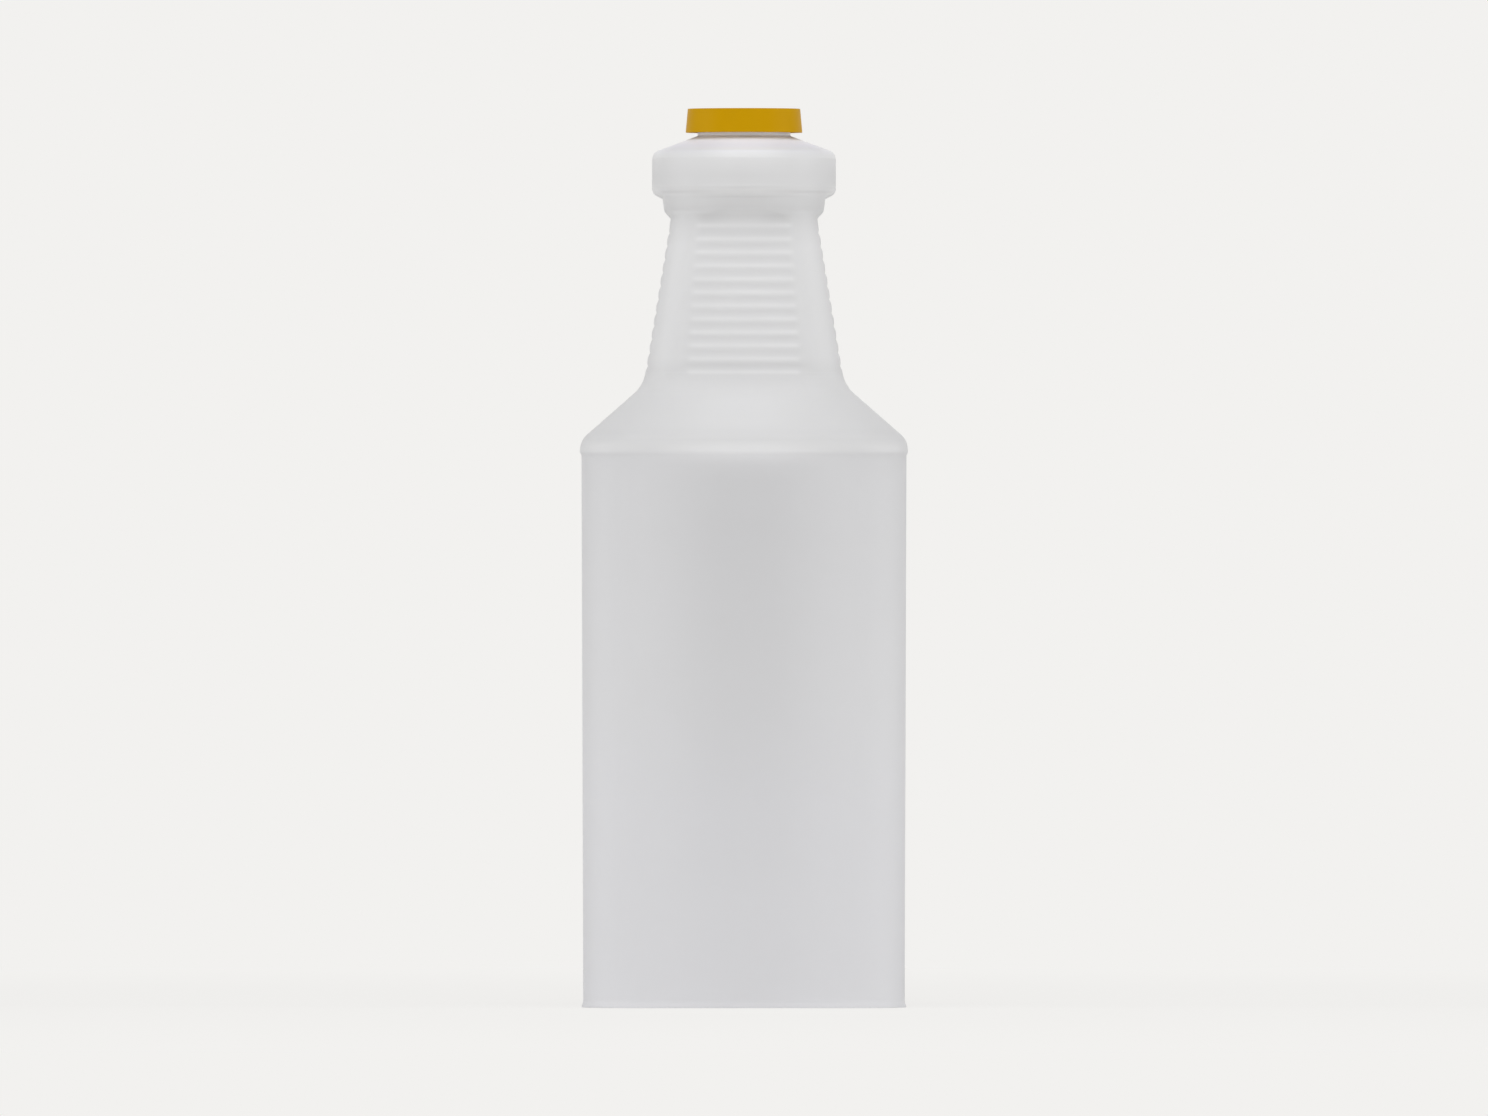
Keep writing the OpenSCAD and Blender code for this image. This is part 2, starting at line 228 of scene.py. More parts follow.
def inset(corners, d):
    """The corner list moved inwards by d."""
    moved = []
    last = len(corners) - 1
    points = [np.array(c[:2], float) for c in corners]

    def inward(a, b):
        t = (b - a) / np.linalg.norm(b - a)
        return np.array([-t[1], t[0]])

    for i, corner in enumerate(corners):
        if i == 0:
            moved.append((0.0, corner[1] + d, 0))
        elif i == last:
            q = points[i] + inward(points[i - 1], points[i]) * d
            moved.append((q[0], q[1], 0))
        else:
            n1, n2 = inward(points[i - 1], points[i]), inward(points[i], points[i + 1])
            m = (n1 + n2) / np.linalg.norm(n1 + n2)
            q = points[i] + m * d / (m @ n1)
            along, onward = points[i] - points[i - 1], points[i + 1] - points[i]
            side = np.sign(along[0] * onward[1] - along[1] * onward[0])
            moved.append((q[0], q[1], max(LEAST_INNER_R, corner[2] - d * side)))
    return moved


def filled(path, step):
    """The path with points added, so that none of its stretches is longer than step(height)."""
    points = [path[0]]
    for a, b in zip(path[:-1], path[1:]):
        parts = max(1, math.ceil(np.linalg.norm(b - a) / step((a[1] + b[1]) / 2)))
        points += [a + (b - a) * k / parts for k in range(1, parts + 1)]
    return np.array(points)


def cone_end(half):
    return (half, CONE_TOP_Z + (NECK_R - half) * math.tan(CONE_SLOPE), 0)


def upper_corners(valley):
    """From the bead up to the collar, with the grip's corners moved in by valley."""
    return [
        (BEAD_HALF, BEAD_Z, SHOULDER_R),
        (GRIP_FOOT_HALF - valley, GRIP_FOOT_Z, GRIP_FOOT_R),
        (GRIP_TOP_HALF - valley, GRIP_TOP_Z, GRIP_TOP_R),
        (BOWL_HALF - BOWL_LEAN, BOWL_FLARE_Z, BOWL_FLARE_R),
        (BOWL_HALF, BOWL_TOP_Z, BOWL_TOP_R),
        (COLLAR_HALF, COLLAR_FOOT_Z, COLLAR_FOOT_R),
        (COLLAR_HALF, COLLAR_TOP_Z, COLLAR_TOP_R),
    ]


def plan_radius(z):
    """Corner radius of the outside, seen from above."""
    heights = [0, BEAD_Z, GRIP_FOOT_Z, GRIP_TOP_Z, BOWL_FLARE_Z, BOWL_TOP_Z, COLLAR_FOOT_Z]
    radii = [CORNER_R, CORNER_R, GRIP_FOOT_CORNER_R, GRIP_TOP_CORNER_R,
             BOWL_CORNER_R, BOWL_CORNER_R, COLLAR_HALF]
    return np.interp(z, heights, radii)


# Sections: columns from the middle of a face round to the middle of a corner

FLAT_SHARES = (0.2, 0.4, 0.6, 0.8, 1.0)
CORNER_STEPS = 8
FLAT_COLUMNS = len(SEAM_LATERALS) + len(FLAT_SHARES)
COLUMNS = FLAT_COLUMNS + CORNER_STEPS


def octant_angles(h, r):
    """Angle of each column of one octant, for sections of half-width h and corner radius r."""
    h, r = h[:, None], r[:, None]
    centre = h - r
    seam = np.arctan2(np.array(SEAM_LATERALS) * np.minimum(1, h / SEAM_FULL_HALF), h)
    flat = np.arctan2(np.array(FLAT_SHARES) * centre, h)
    turn = np.radians(45 * np.arange(1, CORNER_STEPS + 1) / CORNER_STEPS)
    corner = np.arctan2(centre + r * np.sin(turn), centre + r * np.cos(turn))
    square = np.hstack([flat, corner])
    spread = np.arange(1, square.shape[1] + 1) / square.shape[1]
    even = seam[:, -1:] + (math.pi / 4 - seam[:, -1:]) * spread
    squareness = np.clip(centre / (0.3 * h), 0, 1)
    return np.hstack([seam, squareness * square + (1 - squareness) * even])


def reach(h, r, angle):
    """Distance from the axis to the section, at an angle from the middle of a face."""
    centre = (h - r)[:, None]
    h, r = h[:, None], r[:, None]
    across = centre * (np.cos(angle) - np.sin(angle))
    rounded_part = centre * (np.cos(angle) + np.sin(angle)) + np.sqrt(np.maximum(0, r * r - across**2))
    return np.where(h * np.tan(angle) <= centre, h / np.cos(angle), rounded_part)


def ridge(angle, z, start, low_z, turns):
    """Share of its full height that a helical ridge has at each angle (degrees) and height."""
    turned = (angle - start) % 360
    length = 360 * turns
    ends = np.clip(np.minimum(turned, length - turned) / THREAD_FADE, 0, 1)
    off = np.abs(z - (low_z + THREAD_PITCH * turned / 360))
    flank = (THREAD_ROOT_W - THREAD_CREST_W) / 2
    profile = np.clip((THREAD_ROOT_W / 2 - off) / flank, 0, 1)
    return smooth(0, 1, ends) * smooth(0, 1, profile)


def mesh_from_rings(name, rings, foot, top, normals=None):
    """A closed mesh from rings of points in millimetres, closed by a point at each end."""
    rows, around = rings.shape[:2]
    points = np.vstack([[foot], rings.reshape(-1, 3), [top]]) * MM
    index = 1 + np.arange(rows * around).reshape(rows, around)
    following = np.roll(index, -1, axis=1)
    quads = np.stack([index[:-1], following[:-1], following[1:], index[1:]], axis=-1).reshape(-1, 4)
    first = [(0, b, a) for a, b in zip(index[0], following[0])]
    last = [(len(points) - 1, a, b) for a, b in zip(index[-1], following[-1])]
    mesh = bpy.data.meshes.new(name)
    mesh.from_pydata(points.tolist(), [], quads.tolist() + first + last)
    mesh.shade_smooth()
    mesh.update()
    if normals is not None:
        every = np.vstack([[(0, 0, -1)], normals.reshape(-1, 3), [(0, 0, 1)]])
        mesh.normals_split_custom_set_from_vertices(every.tolist())
    piece = bpy.data.objects.new(name, mesh)
    bpy.context.scene.collection.objects.link(piece)
    return piece


# The bottle: one closed shell, from the middle of its base up the outside and down the inside

def bottle_rings():
    base = [
        (0, HOLLOW_DEPTH, 0),
        (HOLLOW_HALF, HOLLOW_DEPTH, HOLLOW_R),
        (RING_HALF, 0, RING_EDGE_R),
        (FOOT_HALF, 0, FOOT_EDGE_R),
        (PANEL_FOOT_HALF, FOOT_H, FOOT_TOP_R),
    ]
    panel = [(PANEL_TOP_HALF, PANEL_H, BEAD_FOOT_R), (BEAD_HALF, PANEL_H + BEAD_STEP_H, BEAD_STEP_R)]
    neck = [
        (NECK_R, CONE_TOP_Z, NECK_FOOT_R),
        (NECK_R, MOUTH_Z, MOUTH_EDGE_R),
        (MOUTH_R, MOUTH_Z, MOUTH_BORE_EDGE_R),
    ]
    foot = base[:3] + [(PANEL_FOOT_HALF, 0, INNER_FOOT_R)]
    past_bore = cone_end(MOUTH_R - CONE_PAST_BORE)
    inner = inset(foot + upper_corners(GROOVE_DEPTH / 2) + [past_bore], WALL)
    # The inside of the cone is cut off where it meets the bore
    slope = (inner[-1][1] - inner[-2][1]) / (inner[-1][0] - inner[-2][0])
    bore_foot = (MOUTH_R, inner[-2][1] + (MOUTH_R - inner[-2][0]) * slope, BORE_FOOT_R)
    # The outside and the inside meet on the mouth's flat lip
    lip_middle = (MOUTH_R + LIP_HALF_W, MOUTH_Z, 0)
    outside = rounded(base + panel + upper_corners(0) + neck[:2] + [lip_middle])
    inside = rounded([lip_middle, neck[2], bore_foot] + inner[-2::-1])

    def outer_step(z):
        if z > CONE_TOP_Z:
            return NECK_ROW_H
        if RIB_LOW_Z - RIB_ROWS_MARGIN < z < RIB_HIGH_Z + RIB_ROWS_MARGIN:
            return RIB_PITCH / ROWS_A_RIB
        return PLAIN_ROW_H

    outer = filled(outside, outer_step)[1:-1]
    innards = filled(inside, lambda z: INNER_ROW_H)[:-1]
    path = np.vstack([outer, innards])
    is_outside = np.arange(len(path)) < len(outer)
    return path, is_outside


def bottle_points(path, is_outside):
    h, z = path[:, 0], path[:, 1]
    depth = np.where(is_outside, 0.0, WALL)
    radius = np.minimum(h, plan_radius(z) - depth)
    near_base = z <= HOLLOW_DEPTH + depth
    radius = np.where(near_base, np.minimum(radius, CORNER_R * h / FOOT_HALF), radius)
    angle = octant_angles(h, radius)
    distance = reach(h, radius, angle)
    x, y = distance * np.cos(angle), distance * np.sin(angle)
    level = z[:, None]

    # Grooves cut the grip into round ribs and run out round its corners
    ribbed = (z > RIB_LOW_Z) & (z < RIB_HIGH_Z) & is_outside
    crest = np.abs(np.cos(math.pi * (z - RIB_LOW_Z) / RIB_PITCH))
    groove = np.where(ribbed, GROOVE_DEPTH * (1 - crest), 0)
    turn = np.maximum(0, np.arange(COLUMNS) - FLAT_COLUMNS + 1) * 45 / CORNER_STEPS
    x = x - groove[:, None] * np.maximum(0, 1 - turn / GROOVE_RUN)

    # Panels sink a little between their edges
    up = np.clip(level / PANEL_H, 0, 1)
    across = np.clip(y / np.maximum(h - radius, 1e-6)[:, None], 0, 1)
    sink = PANEL_SINK * (1 - across**2) ** 2 * np.sin(math.pi * up) ** SINK_FULLNESS
    x = x - np.where(level < PANEL_H, sink, 0) * (np.abs(x) > PANEL_FOOT_HALF - SINK_REACH)

    rings = []
    for face in range(4):
        for mirrored in (True, False):
            px, py, pz = x.copy(), y * (-1 if mirrored else 1), np.repeat(level, x.shape[1], axis=1)
            if face % 2 == 0:
                for column, (seam, pinch) in enumerate(zip(SEAM_HEIGHTS, PINCH_HEIGHTS)):
                    side = is_outside & (z > FOOT_H) & (z < CONE_TOP_Z - SEAM_TOP_GAP)
                    px[:, column] = np.where(
                        side, np.minimum(px[:, column] + seam, BEAD_HALF), px[:, column]
                    )
                    under = is_outside & (h < RING_HALF - PINCH_END_GAP) & (z > PINCH_LOW_Z)
                    pz[:, column] = np.where(under, pz[:, column] - pinch, pz[:, column])
            order = np.arange(COLUMNS - 1, 0, -1) if mirrored else np.arange(0, COLUMNS - 1)
            turn = math.pi / 2 * face
            rings.append(
                np.stack(
                    [
                        px[:, order] * math.cos(turn) - py[:, order] * math.sin(turn),
                        px[:, order] * math.sin(turn) + py[:, order] * math.cos(turn),
                        pz[:, order],
                    ],
                    axis=-1,
                )
            )
    return np.concatenate(rings, axis=1)


def add_neck_thread(points, is_outside):
    """Moves the neck's points out to the ridge's crest."""
    radius = np.hypot(points[..., 0], points[..., 1])
    angle = np.degrees(np.arctan2(points[..., 1], points[..., 0]))
    on_neck = is_outside[:, None] & (points[..., 2] > CONE_TOP_Z + 0.3) & (radius > NECK_R - 0.01)
    height = THREAD_H * ridge(angle, points[..., 2], 0, NECK_THREAD_Z, THREAD_TURNS)
    grow = np.where(on_neck, (radius + height) / radius, 1.0)
    points[..., :2] *= grow[..., None]
    return points


def soft_normals(points, path, is_outside):
    """Normals of the shape smoothed along its outline, since light spreads under milky plastic's surface."""
    height = path[:, 1]
    spread = np.where((height > RIB_LOW_Z) & (height < RIB_HIGH_Z), RIB_SCATTER, SCATTER)
    crisp = ~is_outside | (height < FOOT_H + SCATTER) | (height > CONE_TOP_Z - SCATTER)
    spread = np.where(crisp, CRISP_SCATTER, spread)[:, None]
    steps = np.linalg.norm(np.diff(path, axis=0), axis=1)
    along = np.concatenate([[0], np.cumsum(steps)])
    length = (np.append(steps, 0) + np.insert(steps, 0, 0)) / 2
    weight = np.exp(-((along[:, None] - along[None, :]) / spread) ** 2 / 2) * length
    weight /= weight.sum(axis=1, keepdims=True)
    smoothed = np.tensordot(weight, points, axes=1)
    around = np.roll(smoothed, -1, axis=1) - np.roll(smoothed, 1, axis=1)
    normals = np.cross(around, np.gradient(smoothed, axis=0))
    return normals / np.linalg.norm(normals, axis=2, keepdims=True)


def make_bottle():
    path, is_outside = bottle_rings()
    points = add_neck_thread(bottle_points(path, is_outside), is_outside)
    normals = soft_normals(points, path, is_outside)
    foot = (0, 0, HOLLOW_DEPTH - PINCH_HEIGHTS[0])
    return mesh_from_rings("milky_bottle", points, foot, (0, 0, HOLLOW_DEPTH + WALL), normals)


# The cap and the liner are turned shapes

CAP_COLUMNS = 160
LINER_COLUMNS = 128


def turned(name, path, around, foot, top, relief=None):
    """A closed turned shape through path, [radius, height], with its radii changed by relief."""
    angle = np.linspace(0, 360, around, endpoint=False)[None, :]
    radius = np.repeat(path[:, :1], around, axis=1)
    height = np.repeat(path[:, 1:], around, axis=1)
    if relief:
        radius = relief(angle, radius, height)
    points = np.stack(
        [radius * np.cos(np.radians(angle)), radius * np.sin(np.radians(angle)), height], axis=-1
    )
    return mesh_from_rings(name, points, (0, 0, foot), (0, 0, top))


def make_cap():
    plate_z, top_z, foot_z = liner_high.z, cap_high.z, cap_low.z
    gate_r, gate_slope, gate_depth = 1.4, 0.2, 0.25
    bore_edge_r = 0.35
    corners = [
        (0, plate_z, 0),
        (CAP_BORE_R, plate_z, bore_edge_r),
        (CAP_BORE_R, foot_z, 0.3),
        (CAP_FOOT_R, foot_z, 0.15),
        (CAP_TOP_R, top_z, 0.15),
        (gate_r, top_z, 0.1),
        (gate_r - gate_slope, top_z - gate_depth, 0.1),
        (0, top_z - gate_depth, 0),
    ]
    path = rounded(corners, degrees_a_step=12, least=4)

    def step(z):
        return CAP_ROW_H if foot_z < z < plate_z else PLAIN_ROW_H

    rows = filled(path, step)[1:-1]

    def thread(angle, radius, height):
        on_bore = (np.abs(radius - CAP_BORE_R) < 0.01) & (height < plate_z - bore_edge_r)
        share = ridge(angle, height, CAP_THREAD_START, CAP_THREAD_Z, CAP_THREAD_TURNS)
        return np.where(on_bore, radius - THREAD_H * share, radius)

    return turned("mustard_cap", rows, CAP_COLUMNS, plate_z, top_z - gate_depth, thread)


def make_liner():
    low, high = liner_low.z, liner_high.z
    print_depth, print_slope = 0.08, 0.2
    corners = [
        (0, low, 0),
        (MOUTH_R - print_slope, low, 0.1),
        (MOUTH_R, low + print_depth, 0.1),
        (NECK_R, low + print_depth, 0.1),
        (NECK_R + print_slope, low, 0.1),
        (LINER_R, low, 0.2),
        (LINER_R, high, 0.15),
        (0, high, 0),
    ]
    rows = rounded(corners, degrees_a_step=15)[1:-1]
    return turned("liner_disc", rows, LINER_COLUMNS, low, high)


# Materials

def new_material(name):
    material = bpy.data.materials.new(name)
    material.use_nodes = True
    tree = material.node_tree
    tree.nodes.clear()
    output = tree.nodes.new("ShaderNodeOutputMaterial")
    return material, tree, output


def math_node(tree, operation, a, b=None, c=None, clamp=False):
    node = tree.nodes.new("ShaderNodeMath")
    node.operation = operation
    node.use_clamp = clamp
    for socket, value in zip(node.inputs, (a, b, c)):
        if value is None:
            continue
        if hasattr(value, "links"):
            tree.links.new(value, socket)
        else:
            socket.default_value = value
    return node.outputs[0]


def ramp(tree, value, low, high):
    """0 at low and 1 at high, with a smooth step between them."""
    node = tree.nodes.new("ShaderNodeMapRange")
    node.interpolation_type = "SMOOTHSTEP"
    node.inputs["From Min"].default_value = low
    node.inputs["From Max"].default_value = high
    tree.links.new(value, node.inputs["Value"])
    return node.outputs["Result"]


def noise(tree, position, scale, detail=2.0, roughness=0.5):
    node = tree.nodes.new("ShaderNodeTexNoise")
    node.inputs["Scale"].default_value = scale
    node.inputs["Detail"].default_value = detail
    node.inputs["Roughness"].default_value = roughness
    tree.links.new(position, node.inputs["Vector"])
    return node.outputs["Fac"]


def bump(tree, height, strength, distance):
    node = tree.nodes.new("ShaderNodeBump")
    node.inputs["Strength"].default_value = strength
    node.inputs["Distance"].default_value = distance
    tree.links.new(height, node.inputs["Height"])
    return node


def mixed(tree, fac, a, b):
    node = tree.nodes.new("ShaderNodeMix")
    node.data_type = "RGBA"
    for socket, value in ((node.inputs[0], fac), (node.inputs[6], a), (node.inputs[7], b)):
        if hasattr(value, "links"):
            tree.links.new(value, socket)
        else:
            socket.default_value = value
    return node.outputs[2]


# The wall's grey at heights in millimetres: at the corners, in the middle of each face, and how much
# bluer it is. The numbers were set in rounds, until renders came near the tones read off the photo. They
# make the faces darker in their upper middle. Beside the plastic's own grey they hold painted light and
# shade: a painted highlight along the bead, painted shade on the shoulder and on the top of the grip below
# the bowl, a painted lighter band under the collar's edge, painted highlights on the collar's top edge and
# on the cone, the top of the cone and the neck painted pale against the cap's shadow, and extra blue
# there against the cap's yellow reflection.
WALL_TONES_AND_PAINTED_LIGHT = (
    (0, 210, 205, 3), (2, 215, 211, 3), (27, 216, 212, 3), (53, 216, 210, 3),
    (78, 215, 207, 2), (103, 214, 205, 2), (120, 213, 203, 2), (133, 213, 204, 2),
    (136.5, 213, 208, 2), (138.5, 213, 217, 2), (140, 215, 228, 2), (141.2, 212, 223, 1),
    (143, 204, 207, 1), (147, 207, 214, 1), (153, 208, 214, 1), (156.5, 208, 208, 1),
    (161, 207, 206, 1), (164, 212, 213, 1), (192, 214, 214, 1), (196.5, 208, 212, 1),
    (200, 203, 216, 1), (202, 206, 210, 1), (204, 210, 219, 1), (206, 215, 230, 1),
    (207.5, 211, 215, 1), (210, 210, 212, 1), (213.5, 213, 218, 1), (215.3, 215, 223, 1),
    (216.6, 216, 229, 4), (217.8, 222, 232, 9), (219.5, 248, 248, 6), (222, 248, 248, 6),
)


def wall_tone_and_painted_light(tree, height, column):
    """The wall's colour by height, painted light and shade included, from one column of the table above."""
    top = WALL_TONES_AND_PAINTED_LIGHT[-1][0]
    node = tree.nodes.new("ShaderNodeValToRGB")
    stops = node.color_ramp.elements
    for place in np.linspace(0.1, 0.9, len(WALL_TONES_AND_PAINTED_LIGHT) - 2):
        stops.new(place)
    for stop, tones in zip(stops, WALL_TONES_AND_PAINTED_LIGHT):
        stop.position = tones[0] / top
        stop.color = srgb(tones[column], tones[column], tones[column] + tones[3])
    tree.links.new(math_node(tree, "DIVIDE", height, top * MM), node.inputs["Fac"])
    return node.outputs["Color"]


# Half-lengths of the lowest and the highest painted highlight line on the ribs and the fade at their ends,
# in millimetres
RIB_HIGHLIGHT_FOOT_HALF = 14.1
RIB_HIGHLIGHT_TOP_HALF = 11.9
RIB_HIGHLIGHT_FADE = 1.0
RIB_HIGHLIGHT_THINNESS = 6.0
RIB_HIGHLIGHT_LEAST = 0.1
RIB_HIGHLIGHT_VARIES = 0.3


def painted_rib_highlights(tree, position, lateral, height):
    """A painted highlight: a thin paler line, uneven along its length, on the crest of each rib."""
    turns = math.pi / RIB_PITCH
    phase = math_node(tree, "MULTIPLY_ADD", height, turns / MM, -turns * RIB_LOW_Z)
    wave = math_node(tree, "ABSOLUTE", math_node(tree, "COSINE", phase))
    line = math_node(tree, "POWER", wave, RIB_HIGHLIGHT_THINNESS)
    above = ramp(tree, height, (RIB_LOW_Z - 0.5 * RIB_PITCH) * MM, (RIB_LOW_Z - 0.4 * RIB_PITCH) * MM)
    below = ramp(tree, height, (RIB_HIGH_Z + 0.5 * RIB_PITCH) * MM, (RIB_HIGH_Z + 0.4 * RIB_PITCH) * MM)
    # The painted highlight lines get shorter up the grip, as its faces do
    narrowing = (RIB_HIGHLIGHT_FOOT_HALF - RIB_HIGHLIGHT_TOP_HALF) / (RIB_HIGH_Z - RIB_LOW_Z)
    spread = math_node(tree, "MULTIPLY_ADD", height, narrowing, lateral)
    end = RIB_HIGHLIGHT_FOOT_HALF + narrowing * RIB_LOW_Z
    within = ramp(tree, spread, (end + RIB_HIGHLIGHT_FADE) * MM, (end - RIB_HIGHLIGHT_FADE) * MM)
    uneven = noise(tree, position, 70.0)
    strength = math_node(tree, "MULTIPLY_ADD", uneven, RIB_HIGHLIGHT_VARIES, RIB_HIGHLIGHT_LEAST)
    for factor in (line, above, below, within):
        strength = math_node(tree, "MULTIPLY", strength, factor)
    return strength


def milky_plastic():
    """Unpigmented blown plastic: satin, faintly translucent, with tones by height that hold painted light
    and shade, and painted highlights on the ribs' crests.
    """
    material, tree, output = new_material("natural_plastic")
    position = tree.nodes.new("ShaderNodeTexCoord").outputs["Object"]
    axes = tree.nodes.new("ShaderNodeSeparateXYZ")
    tree.links.new(position, axes.inputs[0])
    across_x = math_node(tree, "ABSOLUTE", axes.outputs["X"])
    across_y = math_node(tree, "ABSOLUTE", axes.outputs["Y"])
    lateral = math_node(tree, "MINIMUM", across_x, across_y)
    outward = math_node(tree, "MAXIMUM", across_x, across_y)
    cornerwards = ramp(tree, math_node(tree, "DIVIDE", lateral, outward), 0.08, 0.7)
    height = axes.outputs["Z"]

    # Tones by height from the faces' middles to their corners, painted light and shade among them
    colour = mixed(tree, cornerwards, wall_tone_and_painted_light(tree, height, 2), wall_tone_and_painted_light(tree, height, 1))
    # Painted highlights on the ribs' crests, in a paler grey
    colour = mixed(tree, painted_rib_highlights(tree, position, lateral, height), colour, srgb(240, 240, 241))
    cloud = noise(tree, position, 45.0, 3.0, 0.5)
    shade = math_node(tree, "MULTIPLY", math_node(tree, "SUBTRACT", cloud, 0.5), 0.12)
    colour = mixed(tree, math_node(tree, "ADD", shade, 0.03, clamp=True), colour, srgb(196, 196, 195))

    bsdf = tree.nodes.new("ShaderNodeBsdfPrincipled")
    tree.links.new(colour, bsdf.inputs["Base Color"])
    bsdf.inputs["Subsurface Weight"].default_value = 0.15
    bsdf.inputs["Subsurface Radius"].default_value = (1.0, 0.97, 0.92)
    bsdf.inputs["Subsurface Scale"].default_value = 0.003
    bsdf.inputs["IOR"].default_value = 1.54
    grain = noise(tree, position, 900.0, 2.0, 0.6)
    tree.links.new(math_node(tree, "MULTIPLY_ADD", grain, 0.1, 0.5), bsdf.inputs["Roughness"])

    # A fine blasted-mould grain over slow waves in the wall
    waves = noise(tree, position, 60.0, 1.0, 0.4)
    fine = bump(tree, grain, strength=0.12, distance=0.00008)
    slow = bump(tree, waves, strength=0.3, distance=0.0003)
    tree.links.new(fine.outputs["Normal"], slow.inputs["Normal"])
    tree.links.new(slow.outputs["Normal"], bsdf.inputs["Normal"])
    tree.links.new(bsdf.outputs[0], output.inputs["Surface"])
    return material


def mustard_plastic():
    """Moulded cap plastic: even mustard yellow, semi-gloss, with faint flow marks."""
    material, tree, output = new_material("mustard_plastic")
    position = tree.nodes.new("ShaderNodeTexCoord").outputs["Object"]
    flow = noise(tree, position, 120.0, 2.0, 0.5)
    grain = noise(tree, position, 2500.0, 2.0, 0.6)
    colour = mixed(tree, flow, srgb(194, 147, 2), srgb(190, 143, 0))
    bsdf = tree.nodes.new("ShaderNodeBsdfPrincipled")
    tree.links.new(colour, bsdf.inputs["Base Color"])
    bsdf.inputs["IOR"].default_value = 1.49
    bsdf.inputs["Specular IOR Level"].default_value = 0.04
    tree.links.new(math_node(tree, "MULTIPLY_ADD", grain, 0.08, 0.36), bsdf.inputs["Roughness"])
    dull = bump(tree, grain, strength=0.08, distance=0.00005)
    tree.links.new(dull.outputs["Normal"], bsdf.inputs["Normal"])
    tree.links.new(bsdf.outputs[0], output.inputs["Surface"])
    return material


def liner_foam():
    """Closed-cell foam: matt white with fine cells."""
    material, tree, output = new_material("liner_foam")
    position = tree.nodes.new("ShaderNodeTexCoord").outputs["Object"]
    cells = tree.nodes.new("ShaderNodeTexVoronoi")
    cells.inputs["Scale"].default_value = 2600.0
    tree.links.new(position, cells.inputs["Vector"])
    colour = mixed(tree, cells.outputs["Distance"], srgb(238, 237, 233), srgb(226, 225, 220))
    bsdf = tree.nodes.new("ShaderNodeBsdfPrincipled")
    tree.links.new(colour, bsdf.inputs["Base Color"])
    bsdf.inputs["Roughness"].default_value = 0.75
    pitted = bump(tree, cells.outputs["Distance"], strength=0.3, distance=0.00008)
    tree.links.new(pitted.outputs["Normal"], bsdf.inputs["Normal"])
    tree.links.new(bsdf.outputs[0], output.inputs["Surface"])
    return material


# The pieces

bottle = make_bottle()
bottle.data.materials.append(milky_plastic())
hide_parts("bottle")
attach(bottle, "bottle_body")

cap = make_cap()
cap.data.materials.append(mustard_plastic())
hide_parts("cap")
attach(cap, "cap_body")

liner = make_liner()
liner.data.materials.append(liner_foam())
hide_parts("liner")
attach(liner, "liner_body")


# Floor and background of one pale colour. Near the bottle the floor keeps part of its true shading.

BACKGROUND = srgb(242, 241, 239)
FLOOR_RADIUS = 40.0
FLOOR_DROP = 0.0001
SHADOW_SHARE = 0.15
SHADOW_NEAR, SHADOW_FAR = 0.12, 0.75


def seen_ray(tree):
    """1 on camera, glossy and transmission rays."""
    path = tree.nodes.new("ShaderNodeLightPath")
    first = math_node(tree, "MAXIMUM", path.outputs["Is Camera Ray"], path.outputs["Is Glossy Ray"])
    return math_node(tree, "MAXIMUM", first, path.outputs["Is Transmission Ray"])


def make_floor():
    bpy.ops.mesh.primitive_circle_add(
        vertices=96, radius=FLOOR_RADIUS, fill_type="TRIFAN", location=(0, 0, -FLOOR_DROP)
    )
    floor = bpy.context.object
    floor.name = "floor"
    material, tree, output = new_material("pale_floor")
    position = tree.nodes.new("ShaderNodeTexCoord").outputs["Object"]
    length = tree.nodes.new("ShaderNodeVectorMath")
    length.operation = "LENGTH"
    tree.links.new(position, length.inputs[0])
    away = ramp(tree, length.outputs["Value"], SHADOW_NEAR, SHADOW_FAR)
    plain = math_node(tree, "MULTIPLY_ADD", away, SHADOW_SHARE, 1 - SHADOW_SHARE)
    diffuse = tree.nodes.new("ShaderNodeBsdfDiffuse")
    diffuse.inputs["Color"].default_value = BACKGROUND
    glow = tree.nodes.new("ShaderNodeEmission")
    glow.inputs["Color"].default_value = BACKGROUND
    mix = tree.nodes.new("ShaderNodeMixShader")
    tree.links.new(math_node(tree, "MULTIPLY", plain, seen_ray(tree)), mix.inputs[0])
    tree.links.new(diffuse.outputs[0], mix.inputs[1])
    tree.links.new(glow.outputs[0], mix.inputs[2])
    tree.links.new(mix.outputs[0], output.inputs["Surface"])
    floor.data.materials.append(material)


WORLD_LIGHT = 0.44
LAMP_AIM_Z = 0.11


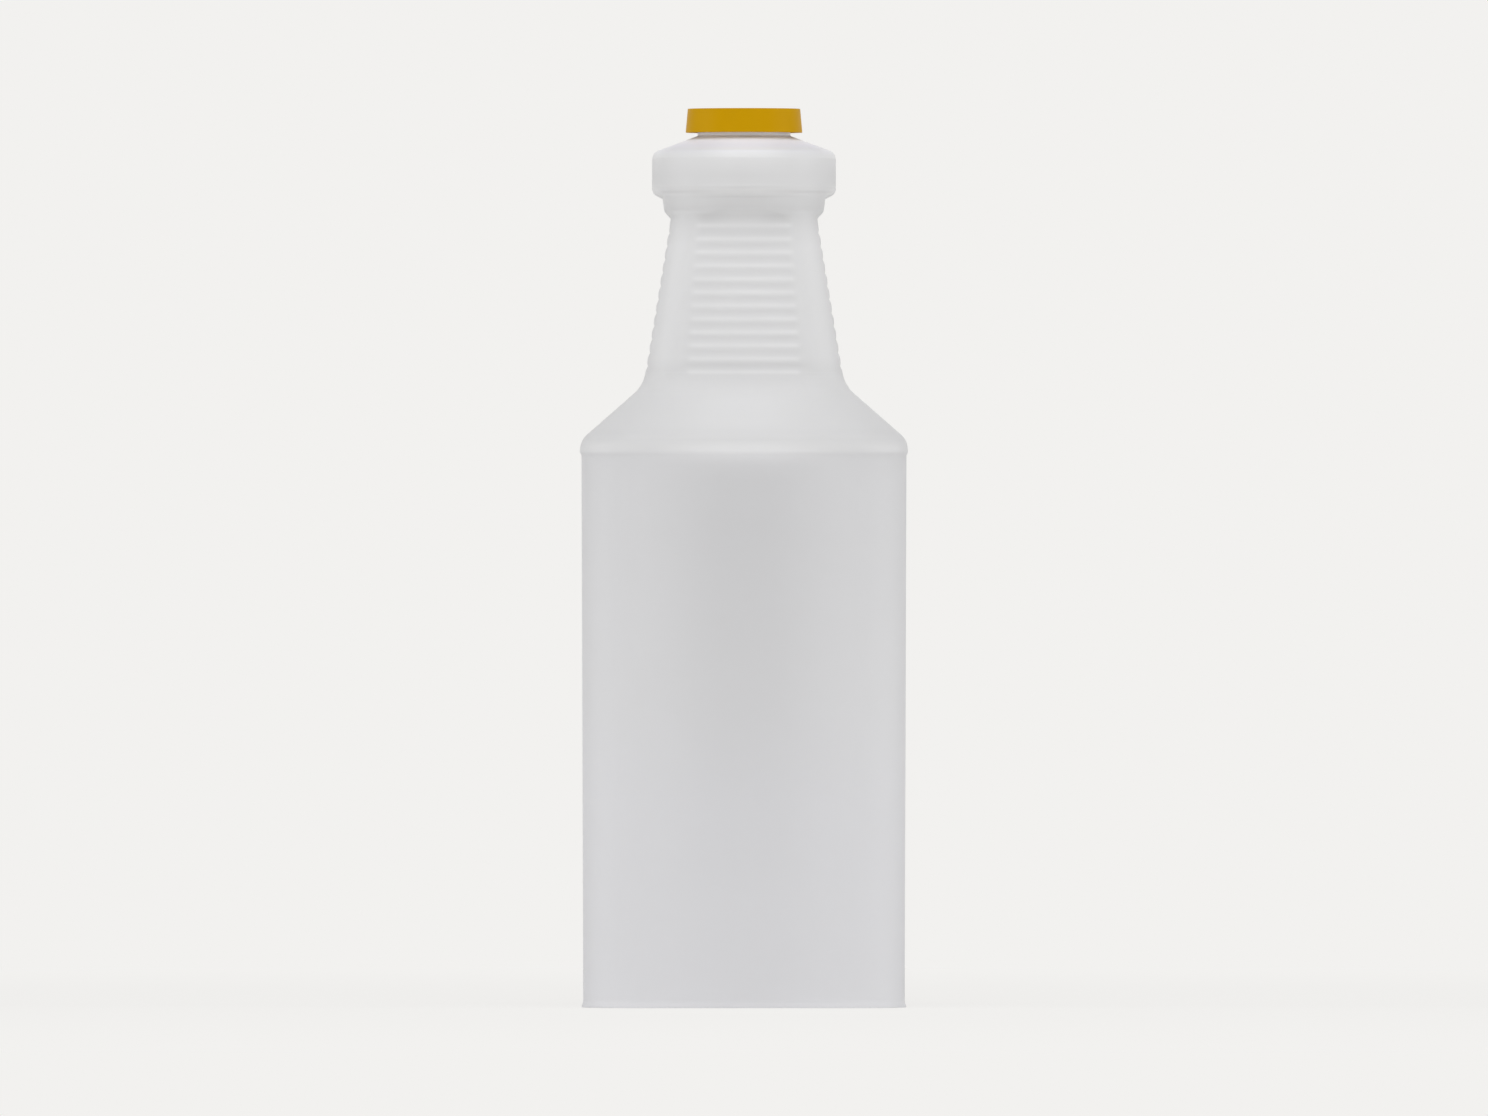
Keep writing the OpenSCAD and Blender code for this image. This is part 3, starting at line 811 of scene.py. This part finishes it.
def make_world():
    world = bpy.data.worlds.new("studio")
    bpy.context.scene.world = world
    world.use_nodes = True
    tree = world.node_tree
    tree.nodes.clear()
    output = tree.nodes.new("ShaderNodeOutputWorld")
    light = tree.nodes.new("ShaderNodeBackground")
    light.inputs["Color"].default_value = (1.0, 1.0, 1.0, 1.0)
    light.inputs["Strength"].default_value = WORLD_LIGHT
    plain = tree.nodes.new("ShaderNodeBackground")
    plain.inputs["Color"].default_value = BACKGROUND
    mix = tree.nodes.new("ShaderNodeMixShader")
    tree.links.new(seen_ray(tree), mix.inputs[0])
    tree.links.new(light.outputs[0], mix.inputs[1])
    tree.links.new(plain.outputs[0], mix.inputs[2])
    tree.links.new(mix.outputs[0], output.inputs["Surface"])


def softbox(name, place, size, watts):
    light = bpy.data.lights.new(name, "AREA")
    light.shape = "SQUARE"
    light.size = size
    light.energy = watts
    lamp = bpy.data.objects.new(name, light)
    lamp.location = place
    lamp.rotation_mode = "QUATERNION"
    lamp.rotation_quaternion = (Vector((0, 0, LAMP_AIM_Z)) - lamp.location).to_track_quat("-Z", "Y")
    lamp.visible_camera = False
    bpy.context.scene.collection.objects.link(lamp)


# Camera level with the middle of the bottle, far off, as the photograph's long lens sees it

IMAGE_W, IMAGE_H = 1488, 1116
CAP_TOP_ROW, FOOT_ROW = 108, 1008
CAMERA_DISTANCE = 8.0
SENSOR_W = 36.0


def make_camera():
    front = CAMERA_DISTANCE - FOOT_HALF * MM
    cap_front = CAMERA_DISTANCE - CAP_TOP_R * MM
    rows_up = IMAGE_H / 2 - CAP_TOP_ROW
    rows_down = FOOT_ROW - IMAGE_H / 2
    # height * scale / front = rows_down, and (cap top - height) * scale / cap_front = rows_up
    share = (rows_down * front) / (rows_down * front + rows_up * cap_front)
    height = cap_high.z * MM * share
    scale = rows_down * front / height
    camera_data = bpy.data.cameras.new("camera")
    camera_data.sensor_width = SENSOR_W
    camera_data.lens = SENSOR_W * scale / IMAGE_W
    camera_data.clip_start, camera_data.clip_end = 0.1, 200.0
    camera = bpy.data.objects.new("camera", camera_data)
    camera.location = (0, -CAMERA_DISTANCE, height)
    camera.rotation_euler = (math.pi / 2, 0, 0)
    bpy.context.scene.collection.objects.link(camera)
    bpy.context.scene.camera = camera


make_floor()
make_world()
softbox("top_box", (0, -0.7, 1.7), 1.4, 10.5)
softbox("high_box", (0, -2.0, 1.5), 0.9, 4.0)
for side in (-1, 1):
    softbox("side_box", (1.6 * side, -0.3, 0.6), 1.0, 6.6)
    softbox("front_box", (1.2 * side, -2.6, 0.3), 1.0, 6.3)
make_camera()

scene = bpy.context.scene
scene.view_settings.view_transform = "Standard"
